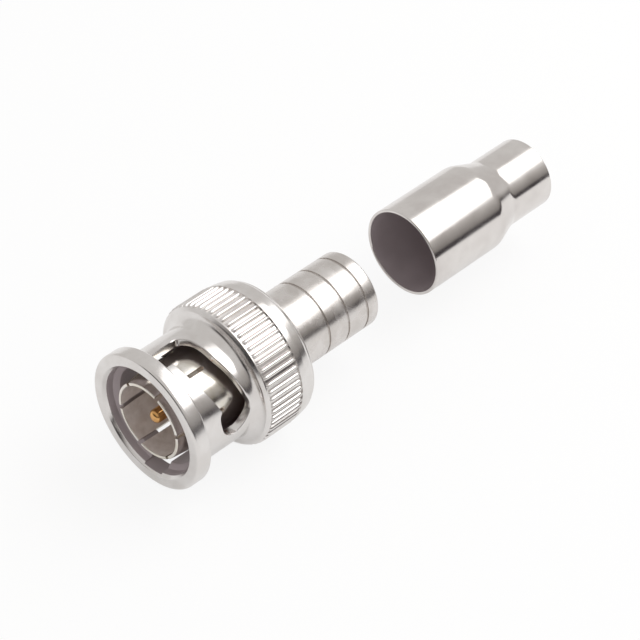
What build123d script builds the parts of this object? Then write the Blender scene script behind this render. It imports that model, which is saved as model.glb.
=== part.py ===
from build123d import *
from math import cos, pi, radians, tan
import os

# A bayonet plug for coaxial cable, with the crimp ferrule that goes over its barrel.
# All sizes are in millimetres. X runs along the plug: the mouth is at X = 0 and the cable
# leaves towards +X. Z is up, and the nut's cam slots face up and down at rest.

# Coupling nut, outside, from the mouth to the cable end
flange_height = 1.18
flange_width = 1.6
flange_front_round = 0.3
flange_back_round = 0.15
neck_wall = 0.79
neck_length = 6.75
shoulder_round = 1.0
shoulder_flat = 0.1
grip_wall = 1.15
grip_front_round = 0.4
knurl_margin = 0.35
knurl_length = 3.75
knurl_count = 60
knurl_depth = 0.28
knurl_root_share = 0.36
knurl_mouth_share = 0.66
band_width = 1.8
tail_slope = 0.1
tail_drop = 0.25
lip_step = 0.35
lip_width = 0.15
lip_round = 0.1

# Coupling nut, inside
bore_radius = 4.93
chamber_setback = 1.85
mouth_chamfer = 0.75
channel_depth = 0.67
channel_width = 2.3
chamber_step = 1.17
ring_groove_depth = 0.35
ring_play = 0.02

# The cam slots: angles are counted from +Z towards -Y, seen from the mouth. A slot starts
# a little before its channel, runs level, climbs towards the cable end and stops in a detent.
slot_count = 2
slot_angle = -5.0
slot_width = 3.1
slot_lead_turn = 11.5
slot_lead_fall = 0.6
entry_end = 5.5
ramp_start = 4.65
ramp_rise = 1.35
ramp_start_turn = 15.0
ramp_end_turn = 90.0
ramp_cut_turn = 80.0
ramp_steps = 10
stop_turn = 84.0
stop_radius = 1.45
detent_turns = (85.0, 92.5)
detent_depth = 0.65
detent_radius = 1.3
cutter_overrun = 0.8

# Plug body
collar_thickness = 1.0
hub_wall = 0.5
barrel_wall = 0.76
barrel_length = 12.0
barrel_chamfer = 0.25
crimp_groove_count = 3
crimp_groove_pitch = 2.5
crimp_groove_width = 0.25
crimp_groove_depth = 0.18
crimp_groove_end = 1.45
cable_bore_radius = 3.15
cable_bore_depth = 9.0
core_room = 0.6

# Contacts and insulator
finger_tip = 0.3
socket_shell_room = 0.86
finger_wall = 0.36
finger_taper = 0.2
finger_taper_length = 1.7
finger_length = 5.6
finger_count = 6
finger_gap = 0.42
finger_angle = 20.5
sleeve_wall = 1.3
sleeve_base_step = 0.18
sleeve_seat_depth = 1.95
insulator_front = 6.2
pin_tip = 0.9
pin_radius = 0.67
pin_point = 0.45
pin_stem_step = 0.33
pin_collar_step = 0.25
pin_collar_length = 0.8
pin_tail_length = 3.6
pin_cup_radius = 0.55
pin_cup_wall = 0.45
pin_cup_depth = 2.8
sight_hole_radius = 0.3

# Gasket and the spring pack behind the collar
gasket_thickness = 0.7
front_washer_thickness = 0.25
wave_count = 3
wave_steps = 24
wave_thickness = 0.18
wave_height = 0.72
rear_washer_thickness = 0.3
retaining_ring_thickness = 0.45
retaining_ring_gap = 2.4

# Crimp ferrule
ferrule_gap = 7.3
ferrule_wall = 0.31
braid_room = 0.36
ferrule_mouth_length = 9.6
cable_jacket_radius = 3.35
ferrule_tail_length = 5.4
ferrule_shoulder_length = 2.6
ferrule_shoulder_round = 2.2
ferrule_neck_round = 1.6
ferrule_edge_chamfer = 0.08

# Clearances
running_fit = 0.05
press_clearance = 0.01
loose_fit = 0.1
shoulder_play = 0.05
axial_play = 0.02

# Radii that follow from the sizes above
neck_radius = bore_radius + neck_wall
flange_radius = neck_radius + flange_height
channel_radius = bore_radius + channel_depth
chamber_radius = bore_radius + chamber_step
grip_radius = chamber_radius + grip_wall
finger_radius = bore_radius - socket_shell_room
sleeve_base_radius = finger_radius + sleeve_base_step
hub_radius = sleeve_base_radius + hub_wall
barrel_radius = cable_bore_radius + barrel_wall
pin_stem_radius = pin_radius + pin_stem_step
pin_collar_radius = pin_stem_radius + pin_collar_step
pin_tail_radius = pin_cup_radius + pin_cup_wall
core_bore_radius = pin_tail_radius + core_room
ferrule_mouth_radius = barrel_radius + braid_room + ferrule_wall
ferrule_tail_radius = cable_jacket_radius + ferrule_wall

# Places along the plug that follow from the sizes above
grip_front = flange_width + neck_length
bore_depth = grip_front + chamber_setback
knurl_front = grip_front + knurl_margin
knurl_back = knurl_front + knurl_length
tail_start = knurl_back + band_width
lip_start = tail_start + tail_slope
nut_length = lip_start + lip_width
collar_front = bore_depth + shoulder_play
collar_back = collar_front + collar_thickness
wave_pack_front = collar_back + front_washer_thickness + axial_play
wave_pack_back = wave_pack_front + 2 * wave_height + axial_play
rear_washer_front = wave_pack_back + axial_play
ring_front = rear_washer_front + rear_washer_thickness + axial_play
hub_end = ring_front + retaining_ring_thickness + axial_play
barrel_end = hub_end + barrel_length
gasket_front = collar_front - gasket_thickness
sleeve_end = collar_front + sleeve_seat_depth
cable_bore_front = barrel_end - cable_bore_depth
ferrule_front = barrel_end + ferrule_gap

# How far a cutter reaches past the metal
beyond = 1.0


def turned(*corners):
    """A solid turned about X. Each corner is (along X, radius) or (along X, radius, round)."""
    points = [(corner[0], corner[1]) for corner in corners]
    rounds = [corner[2] if len(corner) > 2 else 0 for corner in corners]
    outline = make_face(FilletPolyline(*points, radius=rounds, close=True))
    return revolve(outline, axis=Axis.X)


def around(angle, thing):
    """Turn a thing about the plug's axis, from +Z towards -Y."""
    return Rot(angle, 0, 0) * thing


def radial_rod(radius, place, low, high):
    """A round cutter that points up from the axis, between two distances from it."""
    upright = (Align.CENTER, Align.CENTER, Align.MIN)
    return Pos(place, 0, low) * Cylinder(radius, high - low, align=upright)


def radial_section(angle, front, back, low, high):
    """A rectangle in the plane that holds the axis, turned to an angle."""
    corners = [(front, 0, low), (back, 0, low), (back, 0, high), (front, 0, high)]
    return around(angle, make_face(Polyline(*corners, close=True)))


def ramp_section(turn):
    """The cam slot's section at one angle past its channel: it eases in and out."""
    share = max(0, (turn - ramp_start_turn) / (ramp_end_turn - ramp_start_turn))
    lead = min(0, turn / slot_lead_turn)
    centre = ramp_start + ramp_rise * (3 * share**2 - 2 * share**3)
    front = centre - slot_width / 2
    back = centre + slot_width / 2 - slot_lead_fall * lead**2
    low = bore_radius - beyond
    return radial_section(slot_angle + turn, front, back, low, neck_radius + cutter_overrun)


def cam_slot():
    """What the mill takes out of the neck: an axial entry, a ramp and a round detent."""
    low = bore_radius - beyond
    high = neck_radius + cutter_overrun
    entry = Pos((flange_width + entry_end) / 2, 0, (low + high) / 2) * Box(
        entry_end - flange_width, channel_width, high - low
    )
    stride = (slot_lead_turn + ramp_cut_turn) / ramp_steps
    ramp = loft([ramp_section(stride * step - slot_lead_turn) for step in range(ramp_steps + 1)])
    ramp_stop = ramp_start + ramp_rise + slot_width / 2 - stop_radius
    stops = [around(slot_angle + stop_turn, radial_rod(stop_radius, ramp_stop, low, high))]
    for turn in detent_turns:
        pocket = radial_rod(detent_radius, ramp_start + ramp_rise - detent_depth, low, high)
        stops.append(around(slot_angle + turn, pocket))
    return around(slot_angle, entry) + ramp + stops


def lug_channel():
    """The straight way in for a lug, inside the flange and up to the cam slot."""
    reach = entry_end + beyond
    slab = Pos(reach / 2 - beyond, 0, channel_radius / 2) * Box(reach, channel_width, channel_radius)
    disc = Pos(reach / 2 - beyond, 0, 0) * Rot(0, 90, 0) * Cylinder(channel_radius, reach)
    return around(slot_angle, slab & disc)


def knurl_groove():
    """One groove of the straight knurl, with sloping sides and ends."""
    pitch = 2 * pi * grip_radius / knurl_count
    root = pitch * knurl_root_share
    mouth = pitch * knurl_mouth_share
    floor = Rectangle(knurl_length - 2 * knurl_depth, root)
    top = Pos(0, 0, knurl_depth) * Rectangle(knurl_length, mouth)
    over = Pos(0, 0, 2 * knurl_depth) * Rectangle(knurl_length + 2 * knurl_depth, 2 * mouth - root)
    middle = (knurl_front + knurl_back) / 2
    return Pos(middle, 0, grip_radius - knurl_depth) * loft([floor, top, over], ruled=True)


def coupling_nut():
    """The bayonet nut: turned blank, lug channels, cam slots and a straight knurl."""
    groove_radius = chamber_radius + ring_groove_depth
    groove_front = ring_front - ring_play
    groove_back = ring_front + retaining_ring_thickness + ring_play
    hollow = min(shoulder_round, grip_radius - neck_radius - grip_front_round - shoulder_flat)
    tail_radius = grip_radius - tail_drop
    blank = turned(
        (0, bore_radius + mouth_chamfer, 0),
        (0, flange_radius, flange_front_round),
        (flange_width, flange_radius, flange_back_round),
        (flange_width, neck_radius),
        (grip_front, neck_radius, hollow),
        (grip_front, grip_radius, grip_front_round),
        (tail_start, grip_radius),
        (lip_start, tail_radius),
        (lip_start, tail_radius - lip_step),
        (nut_length, tail_radius - lip_step, lip_round),
        (nut_length, chamber_radius),
        (groove_back, chamber_radius),
        (groove_back, groove_radius),
        (groove_front, groove_radius),
        (groove_front, chamber_radius),
        (bore_depth, chamber_radius),
        (bore_depth, bore_radius),
        (mouth_chamfer, bore_radius),
    )
    turn = 360 / slot_count
    milled = (lug_channel(), cam_slot())
    cuts = [around(turn * index, cut) for index in range(slot_count) for cut in milled]
    grooves = [around(360 / knurl_count * index, knurl_groove()) for index in range(knurl_count)]
    return blank - cuts - grooves


def connector_body():
    """The turned body: collar inside the nut, hub for the washers and grooved crimp barrel."""
    collar_radius = chamber_radius - running_fit
    body = turned(
        (collar_front, sleeve_base_radius + press_clearance),
        (collar_front, collar_radius),
        (collar_back, collar_radius),
        (collar_back, hub_radius),
        (hub_end, hub_radius),
        (hub_end, barrel_radius),
        (barrel_end - barrel_chamfer, barrel_radius),
        (barrel_end, barrel_radius - barrel_chamfer),
        (barrel_end, cable_bore_radius),
        (cable_bore_front, cable_bore_radius),
        (cable_bore_front, core_bore_radius),
        (sleeve_end, core_bore_radius),
        (sleeve_end, sleeve_base_radius + press_clearance),
    )
    last = barrel_end - crimp_groove_end
    for index in range(crimp_groove_count):
        centre = last - crimp_groove_pitch * index
        body -= turned(
            (centre - crimp_groove_width / 2, barrel_radius - crimp_groove_depth),
            (centre + crimp_groove_width / 2, barrel_radius - crimp_groove_depth),
            (centre + crimp_groove_width / 2, barrel_radius + beyond),
            (centre - crimp_groove_width / 2, barrel_radius + beyond),
        )
    return body


def outer_contact():
    """The spring sleeve pressed into the body, with its fingers parted by saw cuts."""
    root = finger_tip + finger_length
    taper_end = finger_tip + finger_taper_length
    tip_radius = finger_radius - finger_taper
    sleeve = turned(
        (finger_tip, tip_radius - finger_wall),
        (finger_tip, tip_radius, finger_wall / 3),
        (taper_end, finger_radius),
        (gasket_front, finger_radius),
        (gasket_front, sleeve_base_radius),
        (sleeve_end, sleeve_base_radius),
        (sleeve_end, finger_radius - sleeve_wall),
        (root, finger_radius - sleeve_wall),
        (root, finger_radius - finger_wall),
        (taper_end, finger_radius - finger_wall),
    )
    reach = finger_length + beyond
    cut = Pos(root - reach / 2, 0, finger_radius / 2) * Box(reach, finger_gap, finger_radius + beyond)
    step = 360 / finger_count
    return sleeve - [around(finger_angle + step * index, cut) for index in range(finger_count)]


def insulator():
    """The white insulator that holds the centre pin in the sleeve."""
    outer = finger_radius - sleeve_wall - press_clearance
    return ring(insulator_front, sleeve_end, pin_stem_radius + press_clearance, outer)


def centre_pin():
    """The gold pin: round point, collar behind the insulator and a cup for the cable's core."""
    collar_start = sleeve_end
    tail_start_x = collar_start + pin_collar_length
    tail_stop = tail_start_x + pin_tail_length
    pin = turned(
        (pin_tip, 0),
        (pin_tip, pin_radius, pin_point),
        (insulator_front, pin_radius),
        (insulator_front, pin_stem_radius),
        (collar_start, pin_stem_radius),
        (collar_start, pin_collar_radius),
        (tail_start_x, pin_collar_radius),
        (tail_start_x, pin_tail_radius),
        (tail_stop, pin_tail_radius),
        (tail_stop, pin_cup_radius),
        (tail_stop - pin_cup_depth, pin_cup_radius),
        (tail_stop - pin_cup_depth, 0),
    )
    sight_place = tail_stop - pin_cup_depth + 2 * sight_hole_radius
    return pin - radial_rod(sight_hole_radius, sight_place, 0, pin_tail_radius + beyond)


def ring(front, back, inner, outer, edge=0):
    """A flat ring about the axis, with its outer corners rounded if an edge is given."""
    return turned((front, inner), (front, outer, edge), (back, outer, edge), (back, inner))


def gasket():
    """The rubber ring that the socket's rim is pressed against."""
    inner = sleeve_base_radius + press_clearance
    outer = bore_radius - 2 * running_fit
    return ring(gasket_front, collar_front, inner, outer, gasket_thickness / 4)


def washer(front, thickness):
    """A flat washer that runs on the hub, inside the nut's chamber."""
    return ring(front, front + thickness, hub_radius + loose_fit, chamber_radius - loose_fit)


def wave_section(angle, front):
    """The wave washer's section at one angle."""
    swing = (wave_height - wave_thickness) / 2
    place = front + swing * (1 - cos(radians(wave_count * angle)))
    return radial_section(angle, place, place + wave_thickness, hub_radius + loose_fit, chamber_radius - loose_fit)


def wave_washer(front):
    """A spring washer bent into waves, made as two half turns."""
    step = 360 / wave_steps
    half = wave_steps // 2
    first = loft([wave_section(step * index, front) for index in range(half + 1)], ruled=True)
    second = loft([wave_section(step * index, front) for index in range(half, wave_steps + 1)], ruled=True)
    return first + second


def retaining_ring():
    """The open ring that snaps into the nut's groove behind the washers."""
    outer = chamber_radius + ring_groove_depth - loose_fit
    inner = hub_radius + 3 * loose_fit
    hoop = ring(ring_front, ring_front + retaining_ring_thickness, inner, outer)
    middle = ring_front + retaining_ring_thickness / 2
    gap = Pos(middle, 0, -outer) * Box(retaining_ring_thickness + beyond, retaining_ring_gap, outer)
    return hoop - gap


def crimp_ferrule():
    """The drawn two-step ferrule: wide mouth, rounded shoulder, hollow neck and narrow tail."""
    drop = ferrule_mouth_radius - ferrule_tail_radius
    slope = Vector(ferrule_shoulder_length, -drop).get_angle(Vector(1, 0))
    shift = ferrule_wall * tan(radians(slope) / 2)
    shoulder = ferrule_front + ferrule_mouth_length
    neck = shoulder + ferrule_shoulder_length
    tail = neck + ferrule_tail_length
    return turned(
        (ferrule_front, ferrule_mouth_radius - ferrule_wall, ferrule_edge_chamfer),
        (ferrule_front, ferrule_mouth_radius, ferrule_edge_chamfer),
        (shoulder, ferrule_mouth_radius, ferrule_shoulder_round),
        (neck, ferrule_tail_radius, ferrule_neck_round),
        (tail, ferrule_tail_radius, ferrule_edge_chamfer),
        (tail, ferrule_tail_radius - ferrule_wall, ferrule_edge_chamfer),
        (neck - shift, ferrule_tail_radius - ferrule_wall, ferrule_neck_round + ferrule_wall),
        (shoulder - shift, ferrule_mouth_radius - ferrule_wall, ferrule_shoulder_round - ferrule_wall),
    )


pieces = {
    "coupling_nut": coupling_nut(),
    "connector_body": connector_body(),
    "outer_contact": outer_contact(),
    "insulator": insulator(),
    "centre_pin": centre_pin(),
    "gasket": gasket(),
    "front_washer": washer(collar_back, front_washer_thickness),
    "front_wave_spring": wave_washer(wave_pack_front),
    "rear_wave_spring": wave_washer(wave_pack_front + wave_height + axial_play),
    "rear_washer": washer(rear_washer_front, rear_washer_thickness),
    "retaining_ring": retaining_ring(),
    "crimp_ferrule": crimp_ferrule(),
}

os.makedirs("parts", exist_ok=True)
for name, piece in pieces.items():
    export_step(piece, f"parts/{name}.step")
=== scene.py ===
from math import cos, pi, radians, sin, tan
import bmesh
import bpy
from mathutils import Matrix, Vector


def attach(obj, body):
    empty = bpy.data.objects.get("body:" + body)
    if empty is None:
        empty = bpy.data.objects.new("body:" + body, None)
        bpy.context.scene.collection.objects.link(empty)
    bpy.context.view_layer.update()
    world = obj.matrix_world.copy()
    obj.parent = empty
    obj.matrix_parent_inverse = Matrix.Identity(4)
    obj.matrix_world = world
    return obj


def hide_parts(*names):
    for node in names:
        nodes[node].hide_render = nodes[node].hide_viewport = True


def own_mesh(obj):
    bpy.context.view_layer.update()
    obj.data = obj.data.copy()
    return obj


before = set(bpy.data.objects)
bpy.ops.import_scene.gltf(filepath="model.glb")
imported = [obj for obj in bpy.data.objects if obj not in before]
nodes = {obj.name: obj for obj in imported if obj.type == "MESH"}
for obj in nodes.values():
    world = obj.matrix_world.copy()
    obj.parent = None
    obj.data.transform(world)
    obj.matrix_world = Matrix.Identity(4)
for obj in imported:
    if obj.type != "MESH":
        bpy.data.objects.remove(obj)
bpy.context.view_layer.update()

mm = 0.001
print("frame loaded with", len(nodes), "nodes")


# Materials
metals = {
    # Nickel plate over polished turned brass: a warm pale mirror with faint turning lines
    "nickelOnTurnedBrass": {"colour": "#e3e0de", "shade": "#d8d4d1", "cloudSize": 2.5,
                            "roughness": 0.2, "lineSize": 0.1, "lineStrength": 0.35},
    # Painted shade inside a bore: a dull purple grey copy of the nickel that scatters what light gets in
    "nickelWithPaintedBoreShade": {"colour": "#b3a8ab", "shade": "#aba0a3", "cloudSize": 3.0, "metallic": 0.28,
                         "roughness": 0.5, "lineSize": 0.12, "lineStrength": 0.25},
    # Painted shade inside the sleeve: a duller copy of the finger nickel, lighter than the bore's and warm
    # with brass
    "nickelWithPaintedSleeveShade": {"colour": "#e4dcd8", "shade": "#d3c9c4", "cloudSize": 0.8, "metallic": 0.35,
                          "roughness": 0.4, "lineSize": 0.1, "lineStrength": 0.2},
    # The crimp barrel keeps the tool's lines, so its highlights run wide and streaked
    "nickelOnTurnedBarrel": {"colour": "#dedad7", "shade": "#cfcac6", "cloudSize": 1.6,
                             "roughness": 0.26, "lineSize": 0.14, "lineStrength": 0.6},
    # Nickel on the spring fingers, with the brass just showing through
    "nickelOnSpringBrass": {"colour": "#e8e4de", "shade": "#dad4c8", "cloudSize": 1.2,
                            "roughness": 0.2, "lineSize": 0.07, "lineStrength": 0.2},
    # Nickel on drawn tube: smoother than the turned parts, so its highlights are sharper
    "nickelOnDrawnTube": {"colour": "#dfdbd8", "shade": "#d3cecb", "cloudSize": 3.0,
                          "roughness": 0.15, "lineSize": 0.12, "lineStrength": 0.16},
    # Nickel on stamped strip: a grey satin that gives soft reflections
    "nickelOnStampedWasher": {"colour": "#bdb6ae", "shade": "#a49c93", "cloudSize": 0.8,
                              "roughness": 0.32, "lineSize": 0.2, "lineStrength": 0.1},
    # Bare phosphor bronze strip: a brown gold with a satin rolled face
    "phosphorBronze": {"colour": "#c4a169", "shade": "#a8834e", "cloudSize": 0.7,
                       "roughness": 0.3, "lineSize": 0.15, "lineStrength": 0.15},
    # Hard gold flash over nickel: a warm tan gold, brown where it mirrors the bore
    "goldFlash": {"colour": "#dfae70", "shade": "#c6945a", "cloudSize": 0.5,
                  "roughness": 0.2, "lineSize": 0.05, "lineStrength": 0.15},
}
plastics = {
    # Turned fluoropolymer: waxy white, slightly soft in the light
    "whiteFluoropolymer": {"colour": "#efece4", "shade": "#dedad0", "grainSize": 0.12,
                           "roughness": 0.42, "ior": 1.38},
    # Moulded silicone: matt brick red
    "brickSilicone": {"colour": "#a4432e", "shade": "#8a3524", "grainSize": 0.08,
                      "roughness": 0.62, "ior": 1.41},
}
# Shared by all plating: where one tone turns to the other, how far the sheen wanders from a look's
# roughness, how long the turning lines are in mm, and their depth as a share of their width
plating = {"cloudDetail": 3.0, "toneFrom": 0.35, "toneTo": 0.65, "sheenFrom": 0.3, "sheenTo": 0.7,
           "smoothest": 0.8, "roughest": 1.25, "lineDetail": 2.0, "lineLength": 50.0, "lineDepth": 0.1}
# Shared by the plastics: a faint grain, a fifth as deep as it is wide
moulding = {"grainDetail": 4.0, "grainStrength": 0.25, "grainDepth": 0.2}


def linear(hexColour):
    # From an sRGB hex colour to the linear one that the nodes take
    parts = [int(hexColour[i:i + 2], 16) / 255 for i in (1, 3, 5)]
    return [c / 12.92 if c <= 0.04045 else ((c + 0.055) / 1.055) ** 2.4 for c in parts] + [1.0]


def addNode(tree, kind, inputs=None, **settings):
    node = tree.nodes.new(kind)
    for key, value in settings.items():
        setattr(node, key, value)
    for socket, value in (inputs or {}).items():
        if isinstance(value, bpy.types.NodeSocket):
            tree.links.new(value, node.inputs[socket])
        else:
            node.inputs[socket].default_value = value
    return node


def newMaterial(name):
    material = bpy.data.materials.new(name)
    material.use_nodes = True
    material.node_tree.nodes.clear()
    return material, material.node_tree


def platedMetal(name, look):
    # Two tones of plating in soft clouds, fine lathe lines across X, and a sheen that wanders with the clouds
    material, tree = newMaterial(name)
    place = addNode(tree, "ShaderNodeTexCoord").outputs["Object"]
    clouds = addNode(tree, "ShaderNodeTexNoise", {
        "Vector": place, "Scale": 1 / (look["cloudSize"] * mm), "Detail": plating["cloudDetail"]})
    tone = addNode(tree, "ShaderNodeValToRGB", {"Fac": clouds.outputs["Fac"]})
    dark, light = tone.color_ramp.elements
    dark.position, dark.color = plating["toneFrom"], linear(look["shade"])
    light.position, light.color = plating["toneTo"], linear(look["colour"])
    along, across = 1 / (look["lineSize"] * mm), 1 / (plating["lineLength"] * mm)
    lines = addNode(tree, "ShaderNodeMapping", {"Vector": place, "Scale": (along, across, across)})
    turning = addNode(tree, "ShaderNodeTexNoise", {
        "Vector": lines.outputs["Vector"], "Scale": 1.0, "Detail": plating["lineDetail"]})
    sheen = addNode(tree, "ShaderNodeMapRange", {
        "Value": clouds.outputs["Fac"], "From Min": plating["sheenFrom"], "From Max": plating["sheenTo"],
        "To Min": look["roughness"] * plating["smoothest"],
        "To Max": look["roughness"] * plating["roughest"]})
    relief = addNode(tree, "ShaderNodeBump", {
        "Height": turning.outputs["Fac"], "Strength": look["lineStrength"],
        "Distance": look["lineSize"] * mm * plating["lineDepth"]})
    surface = addNode(tree, "ShaderNodeBsdfPrincipled", {
        "Base Color": tone.outputs["Color"], "Metallic": look.get("metallic", 1.0),
        "Roughness": sheen.outputs["Result"], "Normal": relief.outputs["Normal"]})
    addNode(tree, "ShaderNodeOutputMaterial", {"Surface": surface.outputs["BSDF"]})
    return material


def mouldedStuff(name, look):
    # Even body colour with a fine grain in the bump and a slight cloud in the tone
    material, tree = newMaterial(name)
    place = addNode(tree, "ShaderNodeTexCoord").outputs["Object"]
    grain = addNode(tree, "ShaderNodeTexNoise", {
        "Vector": place, "Scale": 1 / (look["grainSize"] * mm), "Detail": moulding["grainDetail"]})
    tone = addNode(tree, "ShaderNodeValToRGB", {"Fac": grain.outputs["Fac"]})
    tone.color_ramp.elements[0].color = linear(look["shade"])
    tone.color_ramp.elements[1].color = linear(look["colour"])
    relief = addNode(tree, "ShaderNodeBump", {
        "Height": grain.outputs["Fac"], "Strength": moulding["grainStrength"],
        "Distance": look["grainSize"] * mm * moulding["grainDepth"]})
    surface = addNode(tree, "ShaderNodeBsdfPrincipled", {
        "Base Color": tone.outputs["Color"], "Roughness": look["roughness"],
        "IOR": look["ior"], "Normal": relief.outputs["Normal"]})
    addNode(tree, "ShaderNodeOutputMaterial", {"Surface": surface.outputs["BSDF"]})
    return material


finishes = {name: platedMetal(name, look) for name, look in metals.items()}
finishes.update({name: mouldedStuff(name, look) for name, look in plastics.items()})

# Pieces that keep their CAD mesh and only get a finish
nodeFinish = {
    "insulator": "whiteFluoropolymer",
    "gasket": "brickSilicone",
    "front_washer": "nickelOnStampedWasher",
    "rear_washer": "nickelOnStampedWasher",
    "retaining_ring": "phosphorBronze",
}
for name, finish in nodeFinish.items():
    for holder in nodes[name].material_slots:
        holder.material = finishes[finish]
print("materials made:", len(finishes))


# Shapes
# A face takes the painted bore shade when it looks at the axis more squarely than boreSlope. The angle is in
# degrees
meshing = {"segments": 288, "roundSteps": 6, "mergeDistance": 1e-8, "crispAngle": 32, "boreSlope": -0.25}


def roundedOutline(corners, steps):
    # Closed outline in mm from (along X, radius) or (along X, radius, round) corners, rounds drawn as arcs
    points = []
    for index, corner in enumerate(corners):
        here = Vector(corner[:2])
        if len(corner) < 3:
            points.append(here)
            continue
        back = (Vector(corners[index - 1][:2]) - here).normalized()
        onward = (Vector(corners[(index + 1) % len(corners)][:2]) - here).normalized()
        half = back.angle(onward) / 2
        centre = here + (back + onward).normalized() * corner[2] / sin(half)
        reach = corner[2] / tan(half)
        first, last = here + back * reach - centre, here + onward * reach - centre
        for step in range(steps + 1):
            share = step / steps
            points.append(centre + (first * (1 - share) + last * share).normalized() * corner[2])
    return points


def makeMesh(name, rings, closed):
    # Skin over rings of points in mm: a closed one joins its last ring to the first, an open one has end caps
    size = len(rings[0])
    faces = []
    for index in range(len(rings) if closed else len(rings) - 1):
        a, b = index * size, (index + 1) % len(rings) * size
        faces += [(a + k, a + (k + 1) % size, b + (k + 1) % size, b + k) for k in range(size)]
    if not closed:
        faces += [tuple(range(size)), tuple(range((len(rings) - 1) * size, len(rings) * size))]
    mesh = bpy.data.meshes.new(name)
    mesh.from_pydata([Vector(point) * mm for ring in rings for point in ring], [], faces)
    work = bmesh.new()
    work.from_mesh(mesh)
    bmesh.ops.remove_doubles(work, verts=work.verts, dist=meshing["mergeDistance"])
    bmesh.ops.recalc_face_normals(work, faces=work.faces)
    work.to_mesh(mesh)
    work.free()
    return mesh


def turnedMesh(name, corners, segments=meshing["segments"], steps=meshing["roundSteps"]):
    outline = roundedOutline(corners, steps)
    turns = [2 * pi * index / segments for index in range(segments)]
    return makeMesh(name, [[(x, r * sin(t), r * cos(t)) for x, r in outline] for t in turns], True)


def makeObject(name, data):
    thing = bpy.data.objects.new(name, data)
    bpy.context.scene.collection.objects.link(thing)
    return thing


def settled(thing, name):
    # A plain mesh of the object as its modifiers leave it
    held = bpy.context.evaluated_depsgraph_get()
    mesh = bpy.data.meshes.new_from_object(thing.evaluated_get(held))
    mesh.name = name
    bpy.data.objects.remove(thing)
    return mesh


def makeAroundTree():
    # Copies its own mesh at even turns about X, and gives the copies one material
    tree = bpy.data.node_groups.new("aroundTheAxis", "GeometryNodeTree")
    for label, kind, way in (("Geometry", "NodeSocketGeometry", "INPUT"), ("Count", "NodeSocketInt", "INPUT"),
                             ("Turn", "NodeSocketFloat", "INPUT"), ("Finish", "NodeSocketMaterial", "INPUT"),
                             ("Geometry", "NodeSocketGeometry", "OUTPUT")):
        tree.interface.new_socket(name=label, in_out=way, socket_type=kind)
    given = addNode(tree, "NodeGroupInput").outputs
    spots = addNode(tree, "GeometryNodePoints", {"Count": given["Count"]})
    number = addNode(tree, "GeometryNodeInputIndex")
    angle = addNode(tree, "ShaderNodeMath", {0: number.outputs[0], 1: given["Turn"]}, operation="MULTIPLY")
    turn = addNode(tree, "ShaderNodeCombineXYZ", {"X": angle.outputs[0]})
    copies = addNode(tree, "GeometryNodeInstanceOnPoints", {
        "Points": spots.outputs[0], "Instance": given["Geometry"], "Rotation": turn.outputs[0]})
    real = addNode(tree, "GeometryNodeRealizeInstances", {"Geometry": copies.outputs[0]})
    coated = addNode(tree, "GeometryNodeSetMaterial", {
        "Geometry": real.outputs[0], "Material": given["Finish"]})
    addNode(tree, "NodeGroupOutput", {"Geometry": coated.outputs[0]})
    return tree


aroundTree = makeAroundTree()


def copiedAround(name, mesh, count, finish):
    thing = makeObject(name, mesh)
    modifier = thing.modifiers.new("around", "NODES")
    modifier.node_group = aroundTree
    values = {"Count": count, "Turn": 2 * pi / count, "Finish": finishes[finish]}
    for item in aroundTree.interface.items_tree:
        if item.in_out == "INPUT" and item.name in values:
            modifier[item.identifier] = values[item.name]
    return settled(thing, name)


def cutAway(name, mesh, cutters):
    thing = makeObject(name, mesh)
    tools = [makeObject(name + "Tool", cutter) for cutter in cutters]
    for tool in tools:
        cut = thing.modifiers.new("cut", "BOOLEAN")
        cut.operation, cut.solver, cut.object = "DIFFERENCE", "EXACT", tool
    result = settled(thing, name)
    for tool in tools:
        bpy.data.objects.remove(tool)
    return result


def finishPiece(name, mesh, piece):
    # The finished mesh joins its body, stands for its CAD node and keeps sharp edges crisp.
    # Faces that look towards the axis, inside the bore's radius and behind its mouth, get the bore's painted
    # shade
    # bore names the finish that paints the shade inside the bore, where a piece has one
    bore = piece.get("boreShadeFinish")
    mesh.materials.clear()
    for finish in (piece["finish"], bore) if bore else (piece["finish"],):
        mesh.materials.append(finishes[finish])
    for face in mesh.polygons:
        outward = Vector((0, face.center.y, face.center.z))
        inside = bore and outward.length < piece["boreRadius"] * mm and face.center.x > piece["boreFrom"] * mm
        takesBoreShade = inside and face.normal.dot(outward.normalized()) < meshing["boreSlope"]
        face.material_index = 1 if takesBoreShade else 0
    mesh.shade_smooth()
    mesh.set_sharp_from_angle(angle=radians(meshing["crispAngle"]))
    thing = makeObject(name, mesh)
    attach(thing, piece["body"])
    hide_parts(piece["node"])
    return thing


# Coupling nut: turned shell, milled lug channels and cam slots, and a straight knurl of rounded bars
nut = {
    "body": "nut", "node": "coupling_nut", "slot": "bright_nickel",
    # Faces inside the bore take a painted shade
    "finish": "nickelOnTurnedBrass", "boreShadeFinish": "nickelWithPaintedBoreShade", "boreRadius": 6.5, "boreFrom": 0.35,
    "segments": 360,
    "outline": [
        (0.0, 5.76, 0.1), (0.0, 6.9, 0.3), (1.6, 6.9, 0.2), (1.6, 5.72, 0.1),  # flange
        (8.35, 5.72, 1.0), (8.35, 6.76, 0.04), (8.58, 7.08, 0.06),  # neck and shoulder
        (8.72, 7.08, 0.05), (8.8, 6.98, 0.05), (12.48, 6.98, 0.05), (12.56, 7.17, 0.05),  # bed of the knurl
        (13.2, 7.12, 2.0), (14.02, 6.96, 0.5), (14.27, 6.78, 0.08),  # falling tail
        (14.27, 6.58), (14.34, 6.58), (14.34, 6.7, 0.05), (14.5, 6.66, 0.08),  # fine groove and rear lip
        (14.5, 6.1, 0.12), (13.79, 6.1, 0.05), (13.79, 6.45), (13.3, 6.45), (13.3, 6.1, 0.05),  # ring groove
        (10.2, 6.1), (10.2, 4.93, 0.15),  # chamber of the springs
        (1.45, 4.93, 0.12), (1.0, 5.42, 0.15), (0.3, 5.48, 0.12),  # bore and stepped mouth
    ],
}
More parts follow.
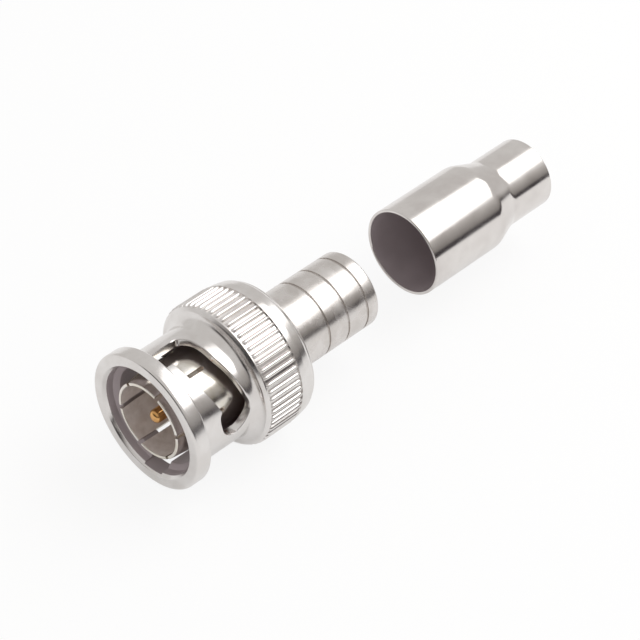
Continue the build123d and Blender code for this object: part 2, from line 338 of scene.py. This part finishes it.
slot = {
    "neckRadius": 5.72, "samples": 96, "smoothing": 2, "copies": 2,
    # The slot's two edges as (along X, degrees from +Z towards -Y), from its channel to its far end
    "mouthSide": [
        (1.7, -16.6), (1.7, -8.0), (1.7, 0.0), (1.7, 4.6), (1.74, 6.2), (2.0, 6.6), (2.6, 6.6), (2.95, 6.9),
        (3.03, 8.5), (3.07, 13.6), (3.1, 19.0), (3.19, 29.0), (3.31, 35.0), (3.51, 40.0), (3.68, 46.0),
        (3.84, 52.6), (4.06, 58.8), (4.22, 64.0), (4.38, 68.4), (4.42, 69.8), (4.36, 71.2), (4.18, 73.0),
        (4.06, 76.0), (4.03, 81.0), (4.1, 87.0), (4.24, 92.0), (4.5, 96.6), (4.85, 99.8), (5.2, 101.0)],
    "cableSide": [
        (4.9, -16.8), (5.3, -16.9), (5.54, -16.3), (5.68, -14.6), (5.94, -9.0), (6.16, -2.0), (6.25, 9.0),
        (6.31, 24.0), (6.56, 34.0), (6.84, 47.5), (7.12, 60.0), (7.32, 69.5), (7.5, 76.0), (7.5, 82.0),
        (7.24, 87.6), (6.71, 94.6), (6.2, 98.8), (5.8, 100.6)],
    # How far the cutter stands out from those edges at each distance from the axis, so both rims are broken
    "levels": [(4.2, 0.12), (4.88, 0.12), (5.0, 0.0), (5.62, 0.0), (5.67, 0.02), (5.7, 0.05),
               (5.76, 0.14), (6.7, 0.14)],
}
# Straight way in for a lug, with a round crown, turned about X by its angle in degrees
channel = {"front": -1.0, "back": 5.4, "halfWidth": 1.15, "floor": 4.0, "top": 5.6, "angle": -5.0,
           "crownSteps": 10, "copies": 2}
# One knurl bar. At its very ends it keeps the shares endRise of its height and endWidth of its width,
# and its sides rise straight by the wall before the crown starts
ridge = {"count": 60, "front": 8.6, "back": 12.6, "root": 6.9, "top": 7.24, "halfWidth": 0.26,
         "endLength": 0.34, "endRise": 0.12, "endWidth": 0.35, "wall": 0.04, "crown": 2.6,
         "rings": 16, "across": 8}


def smoothed(points, rounds):
    # Cuts each corner of an open run of points a quarter of the way along, which gives an even curve
    for _ in range(rounds):
        cut = [points[0]]
        for a, b in zip(points, points[1:]):
            cut += [a * 0.75 + b * 0.25, a * 0.25 + b * 0.75]
        points = cut + [points[-1]]
    return points


def evenly(points, count):
    # The same curve with its points at even steps
    lengths = [0.0]
    for a, b in zip(points, points[1:]):
        lengths.append(lengths[-1] + (b - a).length)
    result, leg = [], 0
    for index in range(count):
        goal = lengths[-1] * index / (count - 1)
        while leg < len(points) - 2 and lengths[leg + 1] < goal:
            leg += 1
        share = (goal - lengths[leg]) / (lengths[leg + 1] - lengths[leg])
        result.append(points[leg].lerp(points[leg + 1], share))
    return result


def makeSlotTool():
    # The slot is drawn flat, as the neck would unroll, and wrapped round the axis at each level
    arc = radians(1) * slot["neckRadius"]
    sides = []
    for edge in (slot["mouthSide"], slot["cableSide"]):
        flat = [Vector((x, angle * arc)) for x, angle in edge]
        sides.append(evenly(smoothed(flat, slot["smoothing"]), slot["samples"]))
    loop = sides[0] + sides[1][::-1]
    out = []
    for index in range(len(loop)):
        along = loop[(index + 1) % len(loop)] - loop[index - 1]
        out.append(Vector((-along.y, along.x)).normalized())
    area = sum(a.x * b.y - b.x * a.y for a, b in zip(loop, loop[1:] + loop[:1]))
    sign = -1 if area > 0 else 1
    rings = []
    for index in range(slot["samples"]):
        ring = []
        for place, levels in ((index, slot["levels"]), (len(loop) - 1 - index, slot["levels"][::-1])):
            for radius, spread in levels:
                spot = loop[place] + out[place] * spread * sign
                angle = spot.y / slot["neckRadius"]
                ring.append((spot.x, -radius * sin(angle), radius * cos(angle)))
        rings.append(ring)
    return makeMesh("slotTool", rings, False)


def makeChannelTool():
    half, top, steps = channel["halfWidth"], channel["top"], channel["crownSteps"]
    crown = [half * (1 - 2 * step / steps) for step in range(steps + 1)]
    section = [(-half, channel["floor"]), (half, channel["floor"])]
    section += [(y, (top * top - y * y) ** 0.5) for y in crown]
    tilt = Matrix.Rotation(radians(channel["angle"]), 3, "X")
    ends = (channel["front"], channel["back"])
    rings = [[tuple(tilt @ Vector((x, y, z))) for y, z in section] for x in ends]
    return makeMesh("channelTool", rings, False)


def makeRidge():
    # One bar of the knurl: its crown and its ends are rounded, and its foot is sunk in the shell
    rings = []
    for step in range(ridge["rings"] + 1):
        share = (1 - cos(pi * step / ridge["rings"])) / 2
        x = ridge["front"] + (ridge["back"] - ridge["front"]) * share
        fromEnd = min(x - ridge["front"], ridge["back"] - x)
        fall = max(0.0, 1 - fromEnd / ridge["endLength"])
        swell = max(ridge["endRise"], (1 - fall * fall) ** 0.5)
        rise = (ridge["top"] - ridge["root"]) * swell - ridge["wall"]
        half = ridge["halfWidth"] * max(ridge["endWidth"], swell)
        ring = [(x, -half, ridge["root"]), (x, half, ridge["root"])]
        for index in range(ridge["across"] + 1):
            way = 1 - 2 * index / ridge["across"]
            height = ridge["root"] + ridge["wall"] + rise * (1 - abs(way) ** ridge["crown"])
            ring.append((x, half * way, height))
        rings.append(ring)
    return makeMesh("ridge", rings, False)


slotCuts = copiedAround("slotCuts", makeSlotTool(), slot["copies"], nut["finish"])
channelCuts = copiedAround("channelCuts", makeChannelTool(), channel["copies"], nut["finish"])
nutBlank = turnedMesh("nutShell", nut["outline"], nut["segments"])
nutShell = cutAway("nutShell", nutBlank, [slotCuts, channelCuts])
knurlBars = copiedAround("knurlBars", makeRidge(), ridge["count"], nut["finish"])
finishPiece("nutShell", nutShell, nut)
finishPiece("knurlBars", knurlBars, nut)
print("coupling nut:", len(nutShell.polygons), "faces in the shell,", len(knurlBars.polygons), "in the knurl")


# Plug body: collar, hub and the crimp barrel with its three fine grooves
plugBody = {
    "body": "plug", "node": "connector_body", "slot": "bright_nickel",
    # Faces inside the bore take a painted shade
    "finish": "nickelOnTurnedBarrel", "boreShadeFinish": "nickelWithPaintedBoreShade", "boreRadius": 3.6, "boreFrom": 12.0,
    "front": [(10.25, 4.26), (10.25, 6.05, 0.08), (11.25, 6.05, 0.08), (11.25, 4.75, 0.05),
              (13.79, 4.75, 0.1), (13.79, 3.91, 0.05)],
    "back": [(25.79, 3.91, 0.22), (25.79, 3.15, 0.08), (15.79, 3.15), (15.79, 1.6, 0.05),
             (12.2, 1.6), (12.2, 4.26)],
    "barrelRadius": 3.91, "grooves": (19.34, 21.84, 24.34), "grooveHalf": 0.125, "grooveDepth": 0.18,
    "rimRound": 0.04,
}


def makePlugBody():
    top, floor = plugBody["barrelRadius"], plugBody["barrelRadius"] - plugBody["grooveDepth"]
    rim, half = plugBody["rimRound"], plugBody["grooveHalf"]
    outline = list(plugBody["front"])
    for x in plugBody["grooves"]:
        outline += [(x - half, top, rim), (x - half, floor, rim),
                    (x + half, floor, rim), (x + half, top, rim)]
    return turnedMesh("plugBody", outline + plugBody["back"])


finishPiece("plugBody", makePlugBody(), plugBody)


# Spring sleeve: tapered tips, six fingers parted by saw cuts
sleeve = {
    "body": "plug", "node": "outer_contact", "slot": "contact_nickel",
    # Faces inside the sleeve take a lighter painted shade
    "finish": "nickelOnSpringBrass", "boreShadeFinish": "nickelWithPaintedSleeveShade", "boreRadius": 3.75, "boreFrom": 0.4,
    "outline": [(0.3, 3.57, 0.07), (0.3, 3.87, 0.1), (2.0, 4.07, 3.0), (9.55, 4.07), (9.55, 4.25, 0.05),
                (12.2, 4.25), (12.2, 2.77), (5.9, 2.77, 0.1), (5.9, 3.71, 0.15), (2.0, 3.71, 3.0)],
    "fingers": 6, "angle": 20.5, "gap": 0.42, "cutFront": -0.5, "cutBack": 5.9, "cutFloor": 2.4,
    "cutTop": 5.0, "endSteps": 8,
}


def makeSawTool():
    # A thin blade with a rounded end, turned to the first gap
    half = sleeve["gap"] / 2
    edge = [(sleeve["cutFront"], -half), (sleeve["cutFront"], half)]
    for step in range(sleeve["endSteps"] + 1):
        turn = pi * step / sleeve["endSteps"]
        edge.append((sleeve["cutBack"] - half + half * sin(turn), half * cos(turn)))
    tilt = Matrix.Rotation(radians(sleeve["angle"]), 3, "X")
    levels = (sleeve["cutFloor"], sleeve["cutTop"])
    rings = [[tuple(tilt @ Vector((x, y, z))) for x, y in edge] for z in levels]
    return makeMesh("sawTool", rings, False)


sawCuts = copiedAround("sawCuts", makeSawTool(), sleeve["fingers"], sleeve["finish"])
sleeveBlank = turnedMesh("springSleeve", sleeve["outline"])
finishPiece("springSleeve", cutAway("springSleeve", sleeveBlank, [sawCuts]), sleeve)


# Centre pin: rounded point, stem, collar behind the insulator and a cup for the core
pin = {
    "body": "plug", "node": "centre_pin", "slot": "gold_plate", "finish": "goldFlash", "segments": 96,
    "outline": [(0.9, 0.0), (0.9, 0.67, 0.45), (6.2, 0.67), (6.2, 1.0, 0.05), (12.2, 1.0), (12.2, 1.25, 0.06),
                (13.0, 1.25, 0.06), (13.0, 1.0), (16.6, 1.0, 0.08), (16.6, 0.55, 0.05), (13.8, 0.55),
                (13.8, 0.0)],
    "sightHole": {"place": 14.4, "radius": 0.3, "floor": 0.0, "top": 1.5, "segments": 32},
}


def makeSightTool():
    hole = pin["sightHole"]
    turns = [2 * pi * index / hole["segments"] for index in range(hole["segments"])]
    rings = [[(hole["place"] + hole["radius"] * cos(t), hole["radius"] * sin(t), z) for t in turns]
             for z in (hole["floor"], hole["top"])]
    return makeMesh("sightTool", rings, False)


pinBlank = turnedMesh("contactPin", pin["outline"], pin["segments"])
finishPiece("contactPin", cutAway("contactPin", pinBlank, [makeSightTool()]), pin)


# Crimp ferrule: drawn tube with two widths and a soft shoulder
ferrule = {
    "body": "ferrule", "node": "crimp_ferrule", "slot": "ferrule_nickel", "roundSteps": 12,
    # Faces inside the bore take a painted shade
    "finish": "nickelOnDrawnTube", "boreShadeFinish": "nickelWithPaintedBoreShade", "boreRadius": 4.4, "boreFrom": 33.2,
    "outline": [(33.09, 4.27, 0.12), (33.09, 4.58, 0.12), (42.69, 4.58, 2.2), (45.29, 3.66, 1.6),
                (50.69, 3.66, 0.1), (50.69, 3.35, 0.1), (45.24, 3.35, 1.9), (42.64, 4.27, 1.9)],
}
ferruleMesh = turnedMesh("ferruleTube", ferrule["outline"], steps=ferrule["roundSteps"])
finishPiece("ferruleTube", ferruleMesh, ferrule)


# Wave springs: thin strip bent into three waves. On the real plug they flatten as the nut slides towards the
# mouth
wave = {
    "body": "plug", "slot": "spring_bronze", "finish": "phosphorBronze",
    "springs": {"frontWaveSpring": ("front_wave_spring", 11.52),
                "rearWaveSpring": ("rear_wave_spring", 12.26)},
    "inner": 4.85, "outer": 6.0, "thickness": 0.18, "swing": 0.27, "waves": 3, "segments": 144,
    "anchor": 11.5, "keep": 0.45,
}


def makeWave(name, front):
    rings = []
    for index in range(wave["segments"]):
        turn = 2 * pi * index / wave["segments"]
        x = front + wave["swing"] * (1 - cos(wave["waves"] * turn))
        corners = ((x, wave["inner"]), (x, wave["outer"]),
                   (x + wave["thickness"], wave["outer"]), (x + wave["thickness"], wave["inner"]))
        rings.append([(along, radius * sin(turn), radius * cos(turn)) for along, radius in corners])
    return makeMesh(name, rings, True)


for name, (node, front) in wave["springs"].items():
    spring = finishPiece(name, makeWave(name, front), dict(wave, node=node))
    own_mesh(spring)
print("plug body, sleeve, pin, ferrule and springs ready")


# Table, light and camera, with lengths in mm and power in watts
studio = {
    "tableHeight": -7.25, "tableSize": 900.0, "tableColour": "#f4f4f4", "glowColour": "#ffffff",
    # Shares of the table that glow for the camera and in the metal. The rest is matt and takes the shadow
    "glowSeen": 0.86, "glowMirrored": 0.45,
    "roomColour": "#fffdfb", "roomLight": 0.72,
    "cameraPlace": (-97.59, -118.57, 147.10), "cameraAim": (15.16, -6.71, 6.84),
    "lens": 135.0, "sensor": 36.0, "nearest": 10.0,
    "lampAim": (15.0, 0.0, 0.0),
    "lamps": {
        "softbox": {"place": (147.0, -78.0, 197.0), "size": (230.0, 110.0), "power": 0.13},
        "softboxRim": {"place": (154.0, -81.0, 207.0), "size": (300.0, 200.0), "power": 0.2},
    },
    # Dark strips with grey above them, beside the plug and before its mouth, that only the metal mirrors
    "horizons": {
        "besidePlug": {"ends": ((-150.0, -80.0), (350.0, -80.0)), "bottom": -7.2, "top": 62.0,
                       "tones": ((0.0, "#3f3a3e"), (0.2, "#3f3a3e"), (0.3, "#928e8b"), (1.0, "#d2cfcc"))},
        "beforeMouth": {"ends": ((-130.0, -70.0), (-130.0, 90.0)), "bottom": -7.2, "top": 70.0,
                        "tones": ((0.0, "#2c282b"), (0.7, "#2c282b"), (0.85, "#8a8683"), (1.0, "#d2cfcc"))},
    },
}


def makeCard(name, corners):
    # One flat face through four corners in metres
    mesh = bpy.data.meshes.new(name)
    mesh.from_pydata(corners, [], [(0, 1, 2, 3)])
    return makeObject(name, mesh)


def makeTable():
    # It glows for the camera, so the ground is white, and a share of it still takes the shadow. What the
    # metal mirrors glows less, so the underside of each piece shows the shade that it lies in
    half, height = studio["tableSize"] / 2 * mm, studio["tableHeight"] * mm
    table = makeCard("table", [
        (-half, -half, height), (half, -half, height), (half, half, height), (-half, half, height)])
    material, tree = newMaterial("whiteTable")
    matt = addNode(tree, "ShaderNodeBsdfDiffuse", {"Color": linear(studio["tableColour"])})
    glow = addNode(tree, "ShaderNodeEmission", {"Color": linear(studio["glowColour"]), "Strength": 1.0})
    rays = addNode(tree, "ShaderNodeLightPath").outputs
    mirrored = addNode(tree, "ShaderNodeMath", {
        0: rays["Is Glossy Ray"], 1: studio["glowMirrored"]}, operation="MULTIPLY")
    share = addNode(tree, "ShaderNodeMath", {
        0: rays["Is Camera Ray"], 1: studio["glowSeen"], 2: mirrored.outputs[0]}, operation="MULTIPLY_ADD")
    blend = addNode(tree, "ShaderNodeMixShader", {
        0: share.outputs[0], 1: matt.outputs[0], 2: glow.outputs[0]})
    addNode(tree, "ShaderNodeOutputMaterial", {"Surface": blend.outputs[0]})
    table.data.materials.append(material)


def makeHorizon(name, look):
    (x0, y0), (x1, y1) = look["ends"]
    bottom, top = look["bottom"], look["top"]
    corners = ((x0, y0, bottom), (x1, y1, bottom), (x1, y1, top), (x0, y0, top))
    thing = makeCard(name, [Vector(corner) * mm for corner in corners])
    material, tree = newMaterial(name + "Tones")
    place = addNode(tree, "ShaderNodeTexCoord").outputs["Object"]
    height = addNode(tree, "ShaderNodeSeparateXYZ", {"Vector": place})
    share = addNode(tree, "ShaderNodeMapRange", {
        "Value": height.outputs["Z"], "From Min": bottom * mm, "From Max": top * mm})
    ramp = addNode(tree, "ShaderNodeValToRGB", {"Fac": share.outputs["Result"]})
    stops = ramp.color_ramp.elements
    while len(stops) < len(look["tones"]):
        stops.new(0.5)  # each stop gets its own place below
    for stop, (position, tone) in zip(stops, look["tones"]):
        stop.position, stop.color = position, linear(tone)
    glow = addNode(tree, "ShaderNodeEmission", {"Color": ramp.outputs["Color"], "Strength": 1.0})
    addNode(tree, "ShaderNodeOutputMaterial", {"Surface": glow.outputs[0]})
    thing.data.materials.append(material)
    thing.visible_camera = thing.visible_diffuse = thing.visible_shadow = False


def makeWorld():
    # White where the camera looks past the table, straight or through a clear thing, and else a pale room
    world = bpy.data.worlds.new("paleRoom")
    bpy.context.scene.world = world
    world.use_nodes = True
    tree = world.node_tree
    tree.nodes.clear()
    rays = addNode(tree, "ShaderNodeLightPath").outputs
    seen = addNode(tree, "ShaderNodeMath", {
        0: rays["Is Camera Ray"], 1: rays["Is Transmission Ray"]}, operation="MAXIMUM")
    white = addNode(tree, "ShaderNodeBackground", {"Color": linear(studio["glowColour"]), "Strength": 1.0})
    room = addNode(tree, "ShaderNodeBackground", {
        "Color": linear(studio["roomColour"]), "Strength": studio["roomLight"]})
    blend = addNode(tree, "ShaderNodeMixShader", {
        0: seen.outputs[0], 1: room.outputs[0], 2: white.outputs[0]})
    addNode(tree, "ShaderNodeOutputWorld", {"Surface": blend.outputs[0]})


def makeLamp(name, lamp):
    light = bpy.data.lights.new(name, "AREA")
    light.shape = "RECTANGLE"
    light.size, light.size_y = (length * mm for length in lamp["size"])
    light.energy = lamp["power"]
    holder = makeObject(name, light)
    holder.location = Vector(lamp["place"]) * mm
    sight = Vector(studio["lampAim"]) - Vector(lamp["place"])
    holder.rotation_euler = sight.to_track_quat("-Z", "Y").to_euler()


def makeCamera():
    lens = bpy.data.cameras.new("camera")
    lens.lens = studio["lens"]
    lens.sensor_width = studio["sensor"]
    lens.sensor_fit = "HORIZONTAL"
    lens.clip_start = studio["nearest"] * mm
    camera = makeObject("camera", lens)
    camera.location = Vector(studio["cameraPlace"]) * mm
    sight = Vector(studio["cameraAim"]) - Vector(studio["cameraPlace"])
    camera.rotation_euler = sight.to_track_quat("-Z", "Y").to_euler()
    bpy.context.scene.camera = camera


makeTable()
for name, look in studio["horizons"].items():
    makeHorizon(name, look)
makeWorld()
for name, lamp in studio["lamps"].items():
    makeLamp(name, lamp)
makeCamera()
bpy.context.scene.view_settings.view_transform = "Standard"
print("studio ready")
